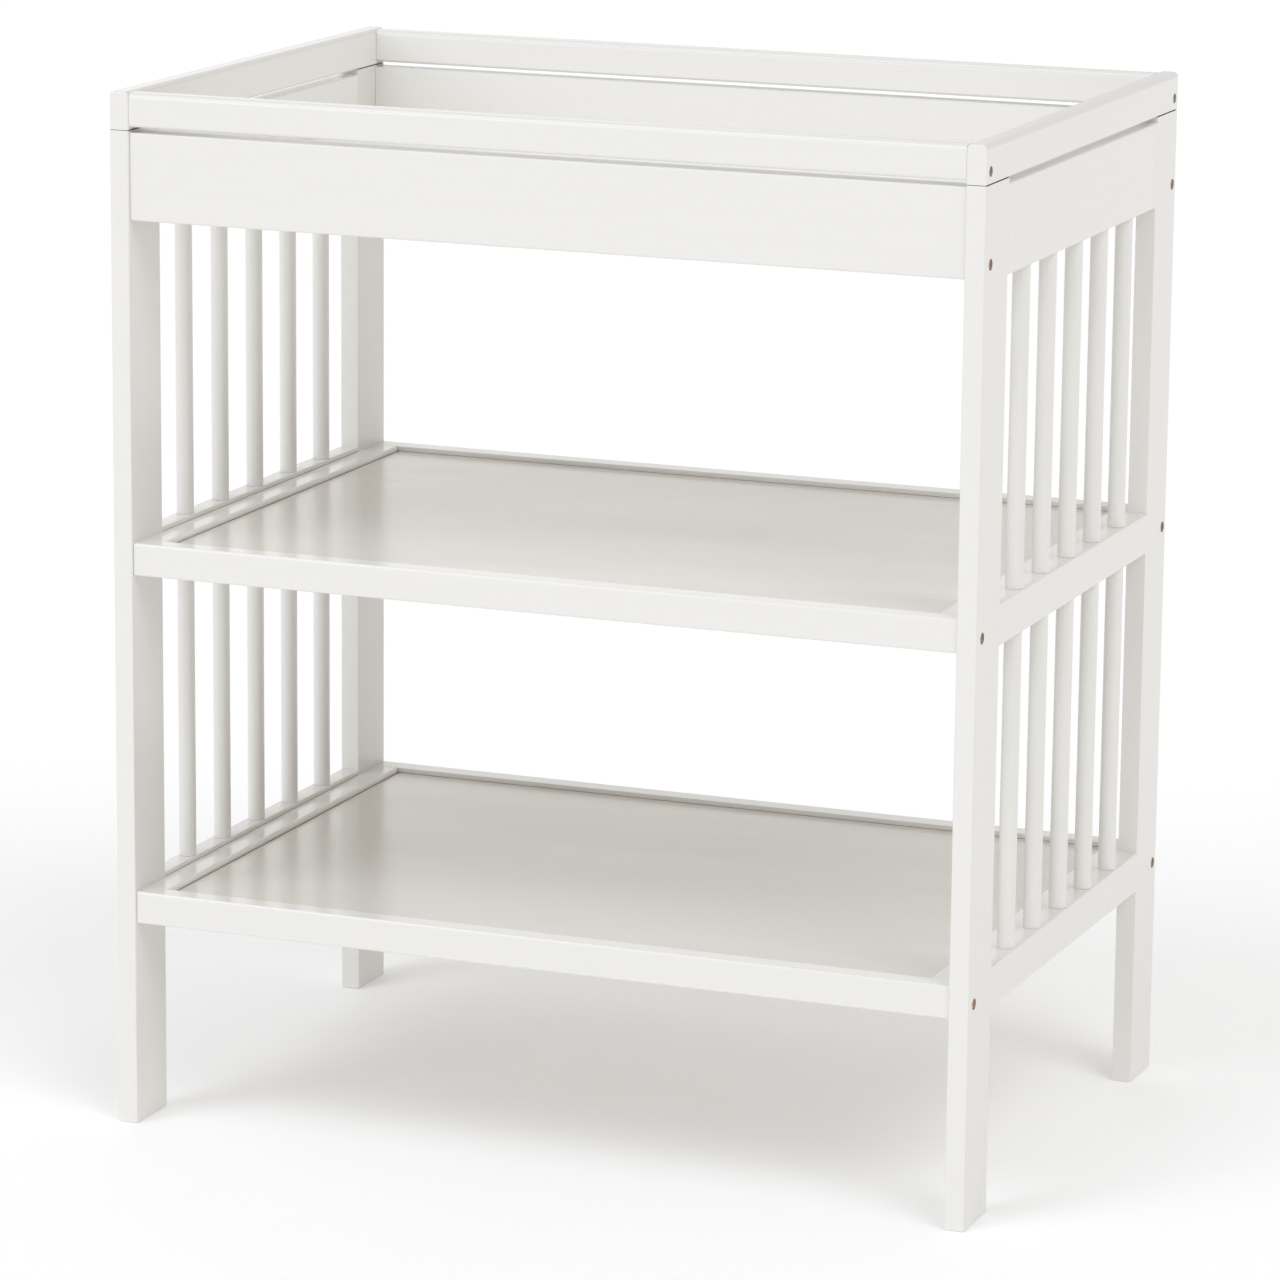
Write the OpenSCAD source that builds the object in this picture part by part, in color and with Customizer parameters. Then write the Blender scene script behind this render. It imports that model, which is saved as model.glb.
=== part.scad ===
// Changing table: two spindled side frames joined by aprons and two panelled shelves,
// with a shallow changing tray on top inside a raised rim.
// Millimetres. Origin on the floor under the centre, X to the right, Y to the back, Z up.

/* [Overall] */
// Width over the outer faces of the side frames
overall_w = 800; // [680:10:1000]
// Depth over the front and back legs
overall_d = 540; // [480:10:640]
// Height of the legs, up to the underside of the rim
leg_h = 896; // [860:1:980]

/* [Side frames] */
// Thickness of the legs, side rails and side aprons
board_t = 18; // [16:1:22]
// Depth of a leg, front to back
leg_d = 60; // [54:1:80]
// How far a side rail stands above and below the shelf rails beside it
side_stand = 4; // [2:0.5:8]
// Height of the side aprons
side_apron_h = 77; // [60:1:90]
// Radius on the outer edges of the legs
leg_edge_r = 1.5; // [0.5:0.5:4]
// Radius on the long edges of side rails and aprons
rail_edge_r = 1.5; // [0.5:0.5:4]
// Radius on the ends and hidden edges of every board
end_edge_r = 0.6; // [0.2:0.1:1]
// Spindles in each opening of a side frame
spindles = 5; // [3:1:5]
// Diameter of a spindle
spindle_d = 15.5; // [12:0.5:16]
// Diameter of the tenon turned on each spindle end
tenon_d = 10; // [7:0.5:11]
// Length of the tenon turned on each spindle end
tenon_l = 13; // [8:1:14]

/* [Shelves] */
// Height of the middle shelf rails' underside above the floor
mid_shelf_z = 502.5; // [420:0.5:560]
// Height of the bottom shelf rails' underside above the floor
bottom_shelf_z = 186; // [120:1:260]
// Height of the front and back shelf rails
rail_h = 29; // [27:1:40]
// Setback of the front aprons and shelf rails behind the front faces of the legs
front_setback = 2.5; // [0:0.5:6]
// Width of the front shelf rail's top face
front_top_w = 18; // [17:1:28]
// Width of the back shelf rail's top face
back_top_w = 20; // [16:1:28]
// Width of the side battens' top face
batten_w = 24; // [16:1:36]
// Height of the side battens
batten_h = 24; // [20:1:27]
// Width of the ledge that carries the panel
ledge_w = 6; // [4:1:10]
// Thickness of the shelf panels
panel_t = 4; // [3:0.5:6]
// Depth of the panel's top below the tops of the rails
panel_drop = 4.5; // [1:0.5:6]
// Gap around the panels' edges
panel_gap = 1; // [0.3:0.1:2]
// Radius on the top edge of the shelf rails and battens
nose_r = 3; // [1:0.5:4]

/* [Changing tray] */
// Height of the front and back aprons
apron_h = 77; // [60:1:90]
// Thickness of the front apron
front_apron_t = 24; // [20:1:26]
// Thickness of the back apron
back_apron_t = 20; // [18:1:28]
// Height of the tray battens' underside above the aprons' lower edge
tray_lift = 2; // [0:1:10]
// Height of the tray battens
tray_batten_h = 18; // [14:1:22]
// Width of the tray battens
tray_batten_w = 18; // [14:1:24]
// Thickness of the deck that the changing mat lies on
deck_t = 6; // [4:1:10]

/* [Rim] */
// Thickness of the rim rails
rim_t = 18; // [16:1:22]
// Height of the side rim rails
rim_side_h = 34; // [30:1:45]
// Height of the front and back rim rails
rim_end_h = 30; // [26:1:34]
// Height of the front and back rim rails' underside above the tops of the legs
rim_end_lift = 3; // [1:0.5:5]
// Setback of the front and back rim rails from the ends of the side rails
rim_setback = 1; // [0.5:0.5:3]
// Open slot between the side rim rails and the side aprons below them
rim_side_slot = 5; // [3:0.25:8]
// Open slot between the front and back rim rails and the aprons below them
rim_end_slot = 4.75; // [3:0.25:8]
// Radius on the long top edges of the rim
rim_top_r = 5; // [2:0.5:6]
// Radius on the top edges of the side rim rails' ends
rim_side_end_r = 2; // [0.5:0.5:5]

/* [Hardware] */
// Shank diameter of the frame bolts
bolt_d = 6; // [5:1:7]
// Head diameter of the frame bolts
bolt_head_d = 9.4; // [8:0.2:11]
// Head height of the frame bolts
bolt_head_h = 4; // [3:0.5:5]
// Depth of a bolt head's top below the leg's outer face
bolt_sink = 1.5; // [1:0.5:4]
// Height of the bolts above the underside of the apron or rail they hold
bolt_rise = 12; // [10:0.5:13]
// Distance of a barrel nut's axis from the end of its rail
nut_reach = 32; // [24:1:45]
// Diameter of the barrel nuts
nut_d = 10; // [9:0.5:11]
// Length of the barrel nuts
nut_l = 14; // [12:1:18]
// Diameter of the dowels
dowel_d = 8; // [6:1:8]
// Height of a rail's locating dowel above its bolt
dowel_over_bolt = 10; // [9:0.5:10]
// Depth of a dowel in a leg's face or in a side rim rail
dowel_in_leg = 10; // [8:1:12]
// Depth of a dowel in the end or edge of the piece it locates
dowel_in_rail = 20; // [14:1:20]
// Shank diameter of the rim screws
rim_screw_d = 5; // [4:0.5:5]
// Head diameter of the rim screws
rim_screw_head_d = 8.4; // [7:0.2:10]
// Length of the rim screws
rim_screw_l = 50; // [40:5:70]
// Height of the rim screws above the underside of the front and back rim rails
rim_screw_rise = 8; // [8:0.5:10]
// Depth of a rim screw head's top below the rim's outer face
rim_screw_sink = 1.5; // [1:0.5:4]
// Height of a rim or batten screw's head
screw_head_h = 3; // [2:0.5:4]
// Shank diameter of the batten screws
batten_screw_d = 4; // [3:0.5:4.5]
// Head diameter of the batten screws
batten_screw_head_d = 7.6; // [6:0.2:8]
// Depth of the batten screws in the board behind the batten
batten_screw_grip = 12; // [9:0.5:13]
// Depth of a batten screw head's top below the batten's inner face
batten_screw_sink = 2; // [0.5:0.5:4]

/* [Hidden] */
sides = [["left", -1], ["right", 1]];
levels = ["lower", "upper"];
shelves = [["bottom", bottom_shelf_z], ["mid", mid_shelf_z]];
$fn = 48;

// Radial room around a dowel, tenon, barrel nut or shank in its hole
fit = 0.1;
// Radial room around a bolt's or rim screw's head in its recess
head_room = 0.3;
// Extra depth of a blind hole past what it holds
hole_spare = 1;
// How far a cut reaches past the face it opens
cut = 1;

// Inner faces and middle planes of the side frames
inner_x = overall_w / 2 - board_t;
board_mid_x = overall_w / 2 - board_t / 2;
// Front and back faces of the legs
front_y = -overall_d / 2;
back_y = overall_d / 2;
// Length of the side rails between the legs
side_rail_l = overall_d - 2 * leg_d;
side_rail_h = rail_h + 2 * side_stand;
side_apron_z = leg_h - rim_side_slot - side_apron_h;
apron_z = leg_h + rim_end_lift - rim_end_slot - apron_h;

// Front faces of the front apron and shelf rails, and the axis of the bolts into them
front_rail_y = front_y + front_setback;
front_rail_t = front_top_w + ledge_w;
front_bolt_y = front_rail_y + front_apron_t / 2;
back_bolt_y = back_y - back_top_w / 2;
back_apron_y = back_y - back_apron_t;
// Inner edges of the shelf rails' top faces
shelf_front_y = front_rail_y + front_top_w;
shelf_back_y = back_y - back_top_w;
shelf_side_x = inner_x - batten_w;
ledge_drop = panel_drop + panel_t;

// Spindles are spread so that every gap between them and the legs is equal
spindle_gap = (side_rail_l - spindles * spindle_d) / (spindles + 1);
spindle_pitch = spindle_gap + spindle_d;
spindle_ys = [for (i = [1:spindles]) (i - (spindles + 1) / 2) * spindle_pitch];
// Screws go midway between neighbouring spindles, clear of their tenons
screw_ys = [for (i = [1:spindles - 1]) (i - spindles / 2) * spindle_pitch];
tray_screw_pitch = overall_w / 4;
screw_xs = [for (i = [-1:1]) i * tray_screw_pitch];

// Inner faces of the tray
tray_front_y = front_rail_y + front_apron_t;
tray_back_y = back_apron_y;
tray_batten_z = apron_z + tray_lift;
deck_z = tray_batten_z + tray_batten_h;
tray_screw_z = tray_batten_z + tray_batten_h / 2;

rim_end_z = leg_h + rim_end_lift;
rim_inner_x = overall_w / 2 - rim_t;
rim_front_y = front_y + rim_setback;
rim_back_y = back_y - rim_setback - rim_t;
// Centre lines of the front and back rim rails
rim_mid_ys = [rim_front_y + rim_t / 2, rim_back_y + rim_t / 2];
rim_screw_z = rim_end_z + rim_screw_rise;
rim_dowel_z = rim_end_z + rim_end_h - rim_screw_rise;
rim_screw_recess = rim_screw_sink + screw_head_h;

// Undersides of the pieces that each leg is bolted to
bolted_zs = [bottom_shelf_z, mid_shelf_z, apron_z];
bolt_recess = bolt_sink + bolt_head_h;
bolt_ys = [front_bolt_y, back_bolt_y];
batten_recess = batten_screw_sink + screw_head_h;
// Underside and height of the boards of a side frame, from the bottom up
side_rails = [
    [bottom_shelf_z - side_stand, side_rail_h],
    [mid_shelf_z - side_stand, side_rail_h],
    [side_apron_z, side_apron_h]
];

white = [0.95, 0.95, 0.93];
panel_white = [0.88, 0.87, 0.84];
bare_wood = [0.83, 0.68, 0.48];
steel = [0.62, 0.62, 0.64];

// Helpers

// Rectangle with its own radius on each corner, from the origin corner anticlockwise
module rounded_rect(size, radii) {
    corners = [[0, 0], [size.x, 0], [size.x, size.y], [0, size.y]];
    difference() {
        square(size);
        for (i = [0:3])
            translate(corners[i]) rotate(90 * i) corner_cut(radii[i]);
    }
}

// What a rounded corner loses, for the corner at the origin of the first quadrant
module corner_cut(r) {
    difference() {
        translate([-cut, -cut]) square(r + cut);
        translate([r, r]) circle(r);
    }
}

// Board with its low corner at the origin and radii on the four edges along each axis
module board(size, x_edges, y_edges, z_edges) {
    intersection() {
        rotate([90, 0, 90]) linear_extrude(size.x) rounded_rect([size.y, size.z], x_edges);
        translate([0, size.y, 0]) rotate([90, 0, 0]) linear_extrude(size.y)
            rounded_rect([size.x, size.z], y_edges);
        linear_extrude(size.z) rounded_rect([size.x, size.y], z_edges);
    }
}

function all_edges(r) = [r, r, r, r];

// Height of a shelf's batten screws, from the underside of its rails
function shelf_screw_z(z) = z + rail_h / 2;

// Cylinder that starts at a point and runs along +X or, with dir -1, along -X
module rod_x(at, d, l, dir = 1) {
    translate(at) rotate([0, 90 * dir, 0]) cylinder(d = d, h = l);
}

// Cylinder that starts at a point and runs along +Y or, with dir -1, along -Y
module rod_y(at, d, l, dir = 1) {
    translate(at) rotate([-90 * dir, 0, 0]) cylinder(d = d, h = l);
}

// Hole for a dowel centred on a joint face, cut past the face on both sides
module dowel_hole_x(at, l) {
    rod_x(at - [l + hole_spare, 0, 0], dowel_d + 2 * fit, 2 * (l + hole_spare));
}

// Shape drawn for the left-hand side, or its mirror image for the right-hand side
module on_side(side) {
    if (side > 0) mirror([1, 0, 0]) children();
    else children();
}

// Both ends of a piece that runs between the side frames
module both_ends() {
    for (side = [-1, 1]) on_side(side) children();
}

// Side frames, drawn for the left-hand side

module leg(side, y, bolt_y, front) {
    outer_x = -overall_w / 2;
    outer = leg_edge_r;
    inner = end_edge_r;
    foot_edges = [outer, outer, inner, inner];
    color(white) on_side(side) difference() {
        translate([outer_x, y, 0])
            board([board_t, leg_d, leg_h], foot_edges, foot_edges,
                front ? [outer, outer, inner, inner] : [inner, inner, outer, outer]);
        for (z = bolted_zs) {
            rod_x([outer_x - cut, bolt_y, z + bolt_rise], bolt_d + 2 * fit, board_t + 2 * cut);
            rod_x([outer_x - cut, bolt_y, z + bolt_rise], bolt_head_d + 2 * head_room, bolt_recess + cut);
            dowel_hole_x([-inner_x, bolt_y, z + bolt_rise + dowel_over_bolt], dowel_in_leg);
        }
        translate([-board_mid_x, y + leg_d / 2, leg_h - dowel_in_rail - hole_spare])
            cylinder(d = dowel_d + 2 * fit, h = dowel_in_rail + hole_spare + cut);
        for (r = side_rails) side_dowel_holes(r, front ? -1 : 1);
    }
}

// Dowel places in the joint between a side rail and a leg: a quarter of the rail's height
// in from its edges. end is -1 at the front
module side_dowel_places(rail, end) {
    for (part = [1 / 4, 3 / 4])
        translate([-board_mid_x, end * side_rail_l / 2, rail[0] + rail[1] * part]) children();
}

module side_dowel_holes(rail, end) {
    depth = dowel_in_rail + hole_spare;
    side_dowel_places(rail, end) rod_y([0, -depth, 0], dowel_d + 2 * fit, 2 * depth);
}

// Socket for a spindle's tenon, opening at height z upwards (1) or downwards (-1)
module tenon_socket(y, z, opens) {
    depth = tenon_l + hole_spare;
    translate([-board_mid_x, y, opens > 0 ? z - depth : z - cut])
        cylinder(d = tenon_d + 2 * fit, h = depth + cut);
}

// Rail or apron of a side frame. opens lists where spindles enter: 1 from above, -1 from
// below. screw_z is the height of the screws that hold the batten inside it
module side_rail(side, rail, opens, screw_z) {
    z = rail[0];
    h = rail[1];
    color(white) on_side(side) difference() {
        translate([-overall_w / 2, -side_rail_l / 2, z])
            board([board_t, side_rail_l, h], all_edges(end_edge_r), all_edges(rail_edge_r),
                all_edges(end_edge_r));
        for (end = [-1, 1]) side_dowel_holes(rail, end);
        for (y = spindle_ys, dir = opens) tenon_socket(y, dir > 0 ? z + h : z, dir);
        for (y = screw_ys)
            rod_x([-inner_x + cut, y, screw_z], batten_screw_d + 2 * fit,
                batten_screw_grip + hole_spare + cut, -1);
    }
}

module spindle(side, level, i) {
    low = side_rails[level][0] + side_rails[level][1];
    high = side_rails[level + 1][0];
    color(white) on_side(side) translate([-board_mid_x, spindle_ys[i], 0]) {
        translate([0, 0, low]) cylinder(d = spindle_d, h = high - low);
        translate([0, 0, low - tenon_l]) cylinder(d = tenon_d, h = high - low + 2 * tenon_l);
    }
}

// Shelves

// Holes for the bolt, barrel nut and dowel at both ends of a piece between the side frames
module end_joint_holes(y, z) {
    both_ends() {
        rod_x([-inner_x - cut, y, z + bolt_rise], bolt_d + 2 * fit, nut_reach + nut_d + cut);
        translate([-inner_x + nut_reach, y, z - cut])
            cylinder(d = nut_d + 2 * fit, h = bolt_rise + nut_l / 2 + cut);
        dowel_hole_x([-inner_x, y, z + bolt_rise + dowel_over_bolt], dowel_in_rail);
    }
}

// Cross-section of a shelf rail with the panel's rebate, outer face on the Y axis
module rebated_section(top_w, h, outer_r) {
    difference() {
        rounded_rect([top_w + ledge_w, h], [rail_edge_r, end_edge_r, end_edge_r, outer_r]);
        translate([top_w, h - ledge_drop]) square([ledge_w + cut, ledge_drop + cut]);
        translate([top_w, h]) rotate(180) corner_cut(end_edge_r);
    }
}

// Plan outline that rounds the ends of a long rail
module rail_ends(l, depth, y) {
    translate([-l / 2, y]) rounded_rect([l, depth], all_edges(end_edge_r));
}

module shelf_rail_body(top_w, z, y, facing) {
    l = 2 * inner_x;
    depth = top_w + ledge_w;
    intersection() {
        translate([-inner_x, y, z]) rotate([90, 0, 90]) linear_extrude(l)
            mirror([facing > 0 ? 0 : 1, 0]) rebated_section(top_w, rail_h, nose_r);
        translate([0, 0, z]) linear_extrude(rail_h)
            rail_ends(l, depth, facing > 0 ? y : y - depth);
    }
}

module shelf_front_rail(z) {
    color(white) difference() {
        shelf_rail_body(front_top_w, z, front_rail_y, 1);
        end_joint_holes(front_bolt_y, z);
    }
}

module shelf_back_rail(z) {
    color(white) difference() {
        shelf_rail_body(back_top_w, z, back_y, -1);
        end_joint_holes(back_bolt_y, z);
    }
}

// Batten under a shelf panel's side edge; its top part laps over the rails' ledges
module shelf_batten(side, z) {
    top = z + rail_h;
    lap_l = shelf_back_y - shelf_front_y;
    color(white) on_side(side) difference() {
        intersection() {
            translate([-inner_x, shelf_back_y, top - batten_h]) rotate([90, 0, 0]) linear_extrude(lap_l)
                rebated_section(batten_w, batten_h, end_edge_r);
            union() {
                translate([-inner_x, shelf_front_y + ledge_w, top - batten_h])
                    cube([batten_w + ledge_w, lap_l - 2 * ledge_w, batten_h]);
                translate([-inner_x, shelf_front_y, top - ledge_drop])
                    cube([batten_w, lap_l, ledge_drop]);
            }
        }
        inner_edge = [-shelf_side_x, shelf_back_y + cut, top];
        translate(inner_edge) rotate([90, 0, 0]) linear_extrude(lap_l + 2 * cut)
            rotate(180) corner_cut(nose_r);
        for (y = screw_ys) batten_screw_hole_x([-inner_x, y, shelf_screw_z(z)], batten_w + ledge_w);
    }
}

// Clearance hole and head recess through a side batten of thickness t
module batten_screw_hole_x(at, t) {
    rod_x(at - [cut, 0, 0], batten_screw_d + 2 * fit, t + 2 * cut);
    rod_x(at + [t - batten_recess, 0, 0], batten_screw_head_d + 2 * fit, batten_recess + cut);
}

module shelf_panel(z) {
    w = 2 * (shelf_side_x - panel_gap);
    d = shelf_back_y - shelf_front_y - 2 * panel_gap;
    color(panel_white) translate([-w / 2, shelf_front_y + panel_gap, z + rail_h - ledge_drop])
        cube([w, d, panel_t]);
}

// Changing tray

module front_apron() {
    color(white) difference() {
        translate([-inner_x, front_rail_y, apron_z])
            board([2 * inner_x, front_apron_t, apron_h], all_edges(rail_edge_r), all_edges(end_edge_r),
                all_edges(end_edge_r));
        end_joint_holes(front_bolt_y, apron_z);
        for (x = screw_xs) rod_y([x, tray_front_y + cut, tray_screw_z], batten_screw_d + 2 * fit,
            batten_screw_grip + hole_spare + cut, -1);
    }
}

module back_apron() {
    color(white) difference() {
        translate([-inner_x, back_apron_y, apron_z])
            board([2 * inner_x, back_apron_t, apron_h], all_edges(rail_edge_r), all_edges(end_edge_r),
                all_edges(end_edge_r));
        end_joint_holes(back_bolt_y, apron_z);
        for (x = screw_xs) rod_y([x, tray_back_y - cut, tray_screw_z], batten_screw_d + 2 * fit,
            batten_screw_grip + hole_spare + cut);
    }
}

module changing_deck() {
    w = 2 * (inner_x - panel_gap);
    d = tray_back_y - tray_front_y - 2 * panel_gap;
    color(panel_white) translate([-w / 2, tray_front_y + panel_gap, deck_z]) cube([w, d, deck_t]);
}

module deck_side_batten(side) {
    l = tray_back_y - tray_front_y;
    color(white) on_side(side) difference() {
        translate([-inner_x, tray_front_y, tray_batten_z]) cube([tray_batten_w, l, tray_batten_h]);
        for (y = screw_ys) batten_screw_hole_x([-inner_x, y, tray_screw_z], tray_batten_w);
    }
}

// Batten along the front apron (dir 1) or the back apron (dir -1), between the side battens
module deck_end_batten(y, dir) {
    l = 2 * (inner_x - tray_batten_w);
    color(white) difference() {
        translate([-l / 2, dir > 0 ? y : y - tray_batten_w, tray_batten_z])
            cube([l, tray_batten_w, tray_batten_h]);
        for (x = screw_xs) {
            rod_y([x, y - dir * cut, tray_screw_z], batten_screw_d + 2 * fit, tray_batten_w + 2 * cut, dir);
            rod_y([x, y + dir * (tray_batten_w - batten_recess), tray_screw_z],
                batten_screw_head_d + 2 * fit, batten_recess + cut, dir);
        }
    }
}

// Rim

module rim_side_rail(side) {
    top = rim_top_r;
    end_top = rim_side_end_r;
    color(white) on_side(side) difference() {
        translate([-overall_w / 2, front_y, leg_h])
            board([rim_t, overall_d, rim_side_h], [end_edge_r, end_edge_r, end_top, end_top],
                [rail_edge_r, rail_edge_r, top, top], all_edges(leg_edge_r));
        for (y = rim_mid_ys) {
            rod_x([-overall_w / 2 - cut, y, rim_screw_z], rim_screw_d + 2 * fit, rim_t + 2 * cut);
            rod_x([-overall_w / 2 - cut, y, rim_screw_z], rim_screw_head_d + 2 * head_room,
                rim_screw_recess + cut);
            dowel_hole_x([-rim_inner_x, y, rim_dowel_z], dowel_in_leg);
        }
        for (dir = [-1, 1]) rim_leg_dowel_place(dir)
            cylinder(d = dowel_d + 2 * fit, h = 2 * (dowel_in_leg + hole_spare), center = true);
    }
}

// Places of the dowels that hold the left side rim rail on the front (-1) or back (1) leg
module rim_leg_dowel_place(dir) {
    translate([-board_mid_x, dir * (overall_d - leg_d) / 2, leg_h]) children();
}

module rim_end_rail(y) {
    top = rim_top_r;
    mid_y = y + rim_t / 2;
    color(white) difference() {
        translate([-rim_inner_x, y, rim_end_z])
            board([2 * rim_inner_x, rim_t, rim_end_h], [rail_edge_r, rail_edge_r, top, top],
                all_edges(end_edge_r), all_edges(end_edge_r));
        both_ends() {
            rod_x([-rim_inner_x - cut, mid_y, rim_screw_z], rim_screw_d + 2 * fit,
                rim_screw_l - (rim_t - rim_screw_sink) + hole_spare + cut);
            dowel_hole_x([-rim_inner_x, mid_y, rim_dowel_z], dowel_in_rail);
        }
    }
}

// Hardware

// Bolt or screw along +X from the top of its head, with a hex socket in the head
module headed_rod_x(at, head_d, head_h, shank_d, l) {
    socket_d = head_d / 2;
    socket_h = head_h / 2;
    translate(at) difference() {
        union() {
            rod_x([0, 0, 0], head_d, head_h);
            rod_x([0, 0, 0], shank_d, l);
        }
        translate([-cut, 0, 0]) rotate([0, 90, 0]) cylinder(d = socket_d, h = socket_h + cut, $fn = 6);
    }
}

module frame_bolts() {
    l = board_t - bolt_sink + nut_reach + nut_d / 2;
    color(steel) both_ends() for (z = bolted_zs, y = bolt_ys)
        headed_rod_x([-overall_w / 2 + bolt_sink, y, z + bolt_rise], bolt_head_d, bolt_head_h, bolt_d, l);
}

module barrel_nuts() {
    color(steel) both_ends() for (z = bolted_zs, y = bolt_ys)
        translate([-inner_x + nut_reach, y, z + bolt_rise]) difference() {
            cylinder(d = nut_d, h = nut_l, center = true);
            rod_x([-nut_d, 0, 0], bolt_d + 2 * fit, 2 * nut_d);
        }
}

module side_dowels() {
    color(bare_wood) both_ends() for (r = side_rails, end = [-1, 1])
        side_dowel_places(r, end) rod_y([0, -dowel_in_rail, 0], dowel_d, 2 * dowel_in_rail);
}

module rail_dowels() {
    color(bare_wood) both_ends() for (z = bolted_zs, y = bolt_ys)
        rod_x([-inner_x - dowel_in_leg, y, z + bolt_rise + dowel_over_bolt], dowel_d,
            dowel_in_leg + dowel_in_rail);
}

module rim_dowels() {
    color(bare_wood) both_ends() {
        for (dir = [-1, 1]) rim_leg_dowel_place(dir)
            translate([0, 0, -dowel_in_rail]) cylinder(d = dowel_d, h = dowel_in_rail + dowel_in_leg);
        for (y = rim_mid_ys)
            rod_x([-rim_inner_x - dowel_in_leg, y, rim_dowel_z], dowel_d, dowel_in_leg + dowel_in_rail);
    }
}

module rim_screws() {
    color(steel) both_ends() for (y = rim_mid_ys)
        headed_rod_x([-overall_w / 2 + rim_screw_sink, y, rim_screw_z], rim_screw_head_d,
            screw_head_h, rim_screw_d, rim_screw_l);
}

// Screw through a batten of thickness t from its far side, into the board at the origin
module batten_screw(t) {
    head_x = t - batten_screw_sink;
    rod_x([head_x, 0, 0], batten_screw_head_d, screw_head_h, -1);
    rod_x([head_x, 0, 0], batten_screw_d, head_x + batten_screw_grip, -1);
}

module batten_screws() {
    color(steel) {
        both_ends() for (y = screw_ys) {
            for (s = shelves) translate([-inner_x, y, shelf_screw_z(s[1])]) batten_screw(batten_w + ledge_w);
            translate([-inner_x, y, tray_screw_z]) batten_screw(tray_batten_w);
        }
        for (x = screw_xs) {
            translate([x, tray_front_y, tray_screw_z]) rotate(90) batten_screw(tray_batten_w);
            translate([x, tray_back_y, tray_screw_z]) rotate(-90) batten_screw(tray_batten_w);
        }
    }
}

// What is drawn

for (s = sides) {
    leg(s[1], front_y, front_bolt_y, true);
    leg(s[1], back_y - leg_d, back_bolt_y, false);
    side_rail(s[1], side_rails[2], [-1], tray_screw_z);
    side_rail(s[1], side_rails[1], [-1, 1], shelf_screw_z(mid_shelf_z));
    side_rail(s[1], side_rails[0], [1], shelf_screw_z(bottom_shelf_z));
    for (level = [0, 1], i = [0:spindles - 1])
        spindle(s[1], level, i);
}
for (s = shelves) {
    shelf_front_rail(s[1]);
    shelf_back_rail(s[1]);
    shelf_batten(-1, s[1]);
    shelf_batten(1, s[1]);
    shelf_panel(s[1]);
}
front_apron();
back_apron();
changing_deck();
deck_end_batten(tray_front_y, 1);  // deck_front_batten
deck_end_batten(tray_back_y, -1);  // deck_back_batten
deck_side_batten(-1);  // deck_left_batten
deck_side_batten(1);  // deck_right_batten
rim_end_rail(rim_front_y);  // rim_front_rail
rim_end_rail(rim_back_y);  // rim_back_rail
rim_side_rail(-1);  // rim_left_rail
rim_side_rail(1);  // rim_right_rail
frame_bolts();
barrel_nuts();
side_dowels();
rail_dowels();
rim_dowels();
rim_screws();
batten_screws();
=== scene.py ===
"""Looks of a white changing table: spindled side frames, panelled shelves, tray and rim.

Metres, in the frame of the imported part: the origin is on the floor under the centre, X runs
to the right, Y to the back and Z up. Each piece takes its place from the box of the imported
node that it stands for, and its finer sizes from the fields of the class that makes it.
"""

import logging
import math
from collections.abc import Callable, Iterator
from contextlib import contextmanager
from dataclasses import dataclass
from enum import Enum

import bmesh
import bpy
from mathutils import Matrix, Vector


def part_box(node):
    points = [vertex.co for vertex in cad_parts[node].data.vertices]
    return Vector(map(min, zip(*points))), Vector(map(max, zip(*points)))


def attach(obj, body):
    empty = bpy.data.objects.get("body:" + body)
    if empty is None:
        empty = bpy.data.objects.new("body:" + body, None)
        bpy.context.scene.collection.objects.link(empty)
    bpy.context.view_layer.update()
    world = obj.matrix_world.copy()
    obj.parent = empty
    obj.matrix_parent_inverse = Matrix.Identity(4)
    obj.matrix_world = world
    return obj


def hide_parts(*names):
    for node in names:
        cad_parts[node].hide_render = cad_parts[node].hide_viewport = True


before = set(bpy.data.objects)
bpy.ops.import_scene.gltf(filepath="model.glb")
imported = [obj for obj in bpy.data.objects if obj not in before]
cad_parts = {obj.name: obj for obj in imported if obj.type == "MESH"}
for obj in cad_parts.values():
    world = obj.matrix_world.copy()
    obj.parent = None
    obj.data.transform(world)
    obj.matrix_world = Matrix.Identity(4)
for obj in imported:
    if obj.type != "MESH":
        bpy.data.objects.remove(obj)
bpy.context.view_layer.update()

MM = 0.001
NEAR = 0.01 * MM
SQUARE_ON = 0.99
SMOOTH_ANGLE = math.radians(40)
BODY = "root"

Colour = tuple[float, float, float]
Place = tuple[float, float, float]
Corners = tuple[float, float, float, float]
Pair = tuple[float, float]
FaceTest = Callable[[bmesh.types.BMFace], bool]
EdgeTest = Callable[[bmesh.types.BMEdge], bool]
Socket = bpy.types.NodeSocket
Input = Socket | float | tuple[float, ...]

log = logging.getLogger("changing_table")


class Choice(Enum):
    """A choice whose members are spelled out in the names of nodes, pieces and materials."""

    @property
    def word(self) -> str:
        """The member's name as other names spell it."""
        return self.name.lower()


class Axis(Choice):
    """An axis of the shared frame."""

    X = 0
    Y = 1
    Z = 2

    @property
    def others(self) -> tuple[int, int]:
        """The numbers of the other two axes, lowest first."""
        first, second = (number for number in range(3) if number != self.value)
        return first, second


class Side(Choice):
    """A side frame, with the sign of its X."""

    LEFT = -1
    RIGHT = 1

    @property
    def axis(self) -> Axis:
        """The axis that the sign belongs to."""
        return Axis.X

    def high_x_first(self, inner: float, outer: float) -> Pair:
        """Puts the value for this side's inner edge and the one for its outer edge in order."""
        return (inner, outer) if self is Side.LEFT else (outer, inner)


class End(Choice):
    """The front or the back of the table, with the sign of its Y."""

    FRONT = -1
    BACK = 1

    @property
    def axis(self) -> Axis:
        """The axis that the sign belongs to."""
        return Axis.Y


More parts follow.
